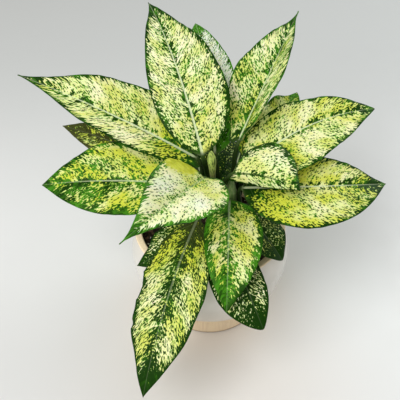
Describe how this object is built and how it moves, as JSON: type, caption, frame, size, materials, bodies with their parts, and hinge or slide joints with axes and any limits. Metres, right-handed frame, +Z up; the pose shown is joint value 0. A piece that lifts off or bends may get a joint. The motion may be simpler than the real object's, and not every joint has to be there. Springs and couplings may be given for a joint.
{
  "type": "potted chinese evergreen",
  "caption": "Potted Chinese evergreen: broad pointed leaves, cream and yellow speckled with green, on short stems in a round white glazed pot.",
  "frame": {"origin": "middle of the pot's flat foot, on the surface the pot stands on", "axes": "+Z up along the pot's axis; -Y towards the front, the side of the long drooping leaf; +X to the right"},
  "size_m": [0.3452, 0.3284, 0.2685],
  "materials": {
    "pot_glaze": "gloss",
    "soil": "matte",
    "stem": "satin",
    "leaf": "satin",
    "dark_leaf": "satin",
    "young_leaf": "satin"
  },
  "bodies": {
    "root": {"pot": "pot_glaze", "soil": "soil", "stem_left": "stem", "stem_right": "stem", "leaf_back_left": "leaf", "leaf_back_middle": "leaf", "leaf_back_right": "leaf", "leaf_back_right_low": "leaf", "leaf_back_low_left": "leaf", "leaf_back_low_right": "leaf", "leaf_right_high": "leaf", "leaf_right_low": "leaf", "leaf_right_young": "leaf", "leaf_left_high": "leaf", "leaf_left_dark": "dark_leaf", "leaf_left_low": "leaf", "leaf_front_pale": "leaf", "leaf_front_long": "leaf", "leaf_front_left_small": "dark_leaf", "leaf_front_middle": "leaf", "leaf_front_dark": "dark_leaf", "leaf_front_right_dark": "dark_leaf", "leaf_rolled": "young_leaf"}
  },
  "joints": []
}
